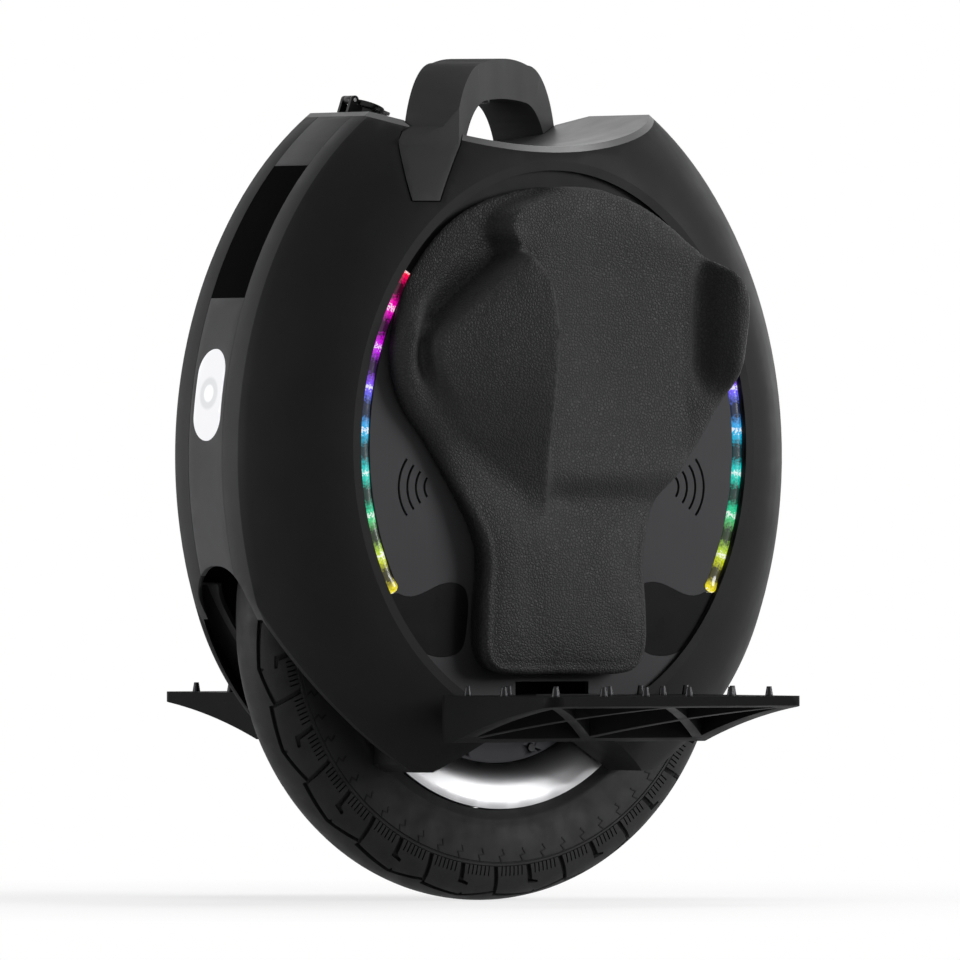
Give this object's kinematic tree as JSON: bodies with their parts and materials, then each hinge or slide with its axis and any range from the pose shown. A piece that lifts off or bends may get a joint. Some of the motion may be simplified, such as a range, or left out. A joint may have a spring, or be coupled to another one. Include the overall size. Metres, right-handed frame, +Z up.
{
  "type": "electric unicycle",
  "caption": "Tall black self-balancing electric unicycle with a hub-motor wheel, folding studded pedals, leather leg pads, light strips round the side panels and a diagonal carry handle.",
  "frame": {"origin": "Where the tyre meets the ground, below the axle", "axes": "X forward towards the headlight, Y to the rider's left along the axle, Z up"},
  "size_m": [0.4188, 0.464, 0.542],
  "materials": {
    "shell_black": "satin",
    "handle_black": "satin",
    "strip_grey": "gloss",
    "window_black": "gloss",
    "lamp_white": "gloss",
    "tail_red": "gloss",
    "lamp_case": "gloss",
    "panel_grey": "matte",
    "insert_gloss": "gloss",
    "light_strip": "gloss",
    "pad_leather": "grained",
    "button_black": "matte",
    "bezel_steel": "brushed",
    "socket_black": "gloss",
    "pin_steel": "ground",
    "frame_black": "matte",
    "stator_core": "varnished",
    "magnet_nickel": "plated",
    "hanger_black": "satin",
    "pedal_black": "satin",
    "stud_steel": "blackened",
    "tyre": "matte",
    "valve_rubber": "matte",
    "rim_alloy": "machined",
    "motor_cover": "satin",
    "bearing_steel": "ground",
    "screw_steel": "blackened",
    "battery_wrap": "shrink wrap",
    "speaker_black": "matte",
    "sink_alloy": "extruded",
    "board_green": "coated",
    "cable_rubber": "matte"
  },
  "bodies": {
    "chassis": {"left_shell": "shell_black", "right_shell": "shell_black", "top_cover": "shell_black", "carry_handle": "handle_black", "front_upper_trim": "strip_grey", "front_strip": "strip_grey", "rear_strip": "strip_grey", "front_window": "window_black", "headlight_lens": "lamp_white", "tail_light_lens": "tail_red", "headlight_housing": "lamp_case", "tail_light_housing": "lamp_case", "left_side_panel": "panel_grey", "right_side_panel": "panel_grey", "left_panel_inserts": "insert_gloss", "right_panel_inserts": "insert_gloss", "left_front_light_strip": "light_strip", "left_rear_light_strip": "light_strip", "right_front_light_strip": "light_strip", "right_rear_light_strip": "light_strip", "left_leg_pad": "pad_leather", "right_leg_pad": "pad_leather", "power_bezel": "bezel_steel", "charge_socket": "socket_black", "charge_cap_pin": "pin_steel", "left_pedal_pin": "pin_steel", "right_pedal_pin": "pin_steel", "axle": "pin_steel", "axle_nuts": "pin_steel", "inner_frame": "frame_black", "stator": "stator_core", "left_pedal_hanger": "hanger_black", "right_pedal_hanger": "hanger_black", "panel_screws": "screw_steel", "hanger_bolts": "screw_steel", "left_front_battery": "battery_wrap", "left_rear_battery": "battery_wrap", "right_front_battery": "battery_wrap", "right_rear_battery": "battery_wrap", "left_speaker": "speaker_black", "right_speaker": "speaker_black", "heat_sink": "sink_alloy", "control_board": "board_green", "motor_cable": "cable_rubber"},
    "wheel": {"tyre": "tyre", "rim": "rim_alloy", "valve_stem": "valve_rubber", "magnet_ring": "magnet_nickel", "left_motor_cover": "motor_cover", "right_motor_cover": "motor_cover", "left_bearing": "bearing_steel", "right_bearing": "bearing_steel", "motor_cover_screws": "screw_steel"},
    "left_pedal_body": {"left_pedal": "pedal_black", "left_pedal_studs": "stud_steel"},
    "right_pedal_body": {"right_pedal": "pedal_black", "right_pedal_studs": "stud_steel"},
    "charge_cap_body": {"charge_cap": "socket_black"},
    "lift_button_body": {"lift_button": "button_black"},
    "power_button_body": {"power_button": "button_black"}
  },
  "joints": [
    {"name": "wheel_spin", "type": "hinge", "parent": "chassis", "child": "wheel", "pos_m": [0, 0, 0.181], "axis": [0, 1, 0], "continuous": true},
    {"name": "left_pedal_fold", "type": "hinge", "parent": "chassis", "child": "left_pedal_body", "pos_m": [0, 0.106, 0.122], "axis": [1, 0, 0], "range_deg": [0, 65]},
    {"name": "right_pedal_fold", "type": "hinge", "parent": "chassis", "child": "right_pedal_body", "pos_m": [0, -0.106, 0.122], "axis": [-1, 0, 0], "range_deg": [0, 65]},
    {"name": "charge_cap_swing", "type": "hinge", "parent": "chassis", "child": "charge_cap_body", "pos_m": [0.09968, 0, 0.51453], "axis": [0, 1, 0], "range_deg": [0, 110]},
    {"name": "lift_button_press", "type": "slide", "parent": "chassis", "child": "lift_button_body", "axis": [0, 0, 1], "range_m": [0, 0.002], "stiffness_N_per_m": 300, "springref_m": -0.0005},
    {"name": "power_button_press", "type": "slide", "parent": "chassis", "child": "power_button_body", "axis": [0.1909, 0, -0.9816], "range_m": [0, 0.0015], "stiffness_N_per_m": 400, "springref_m": -0.0005}
  ]
}
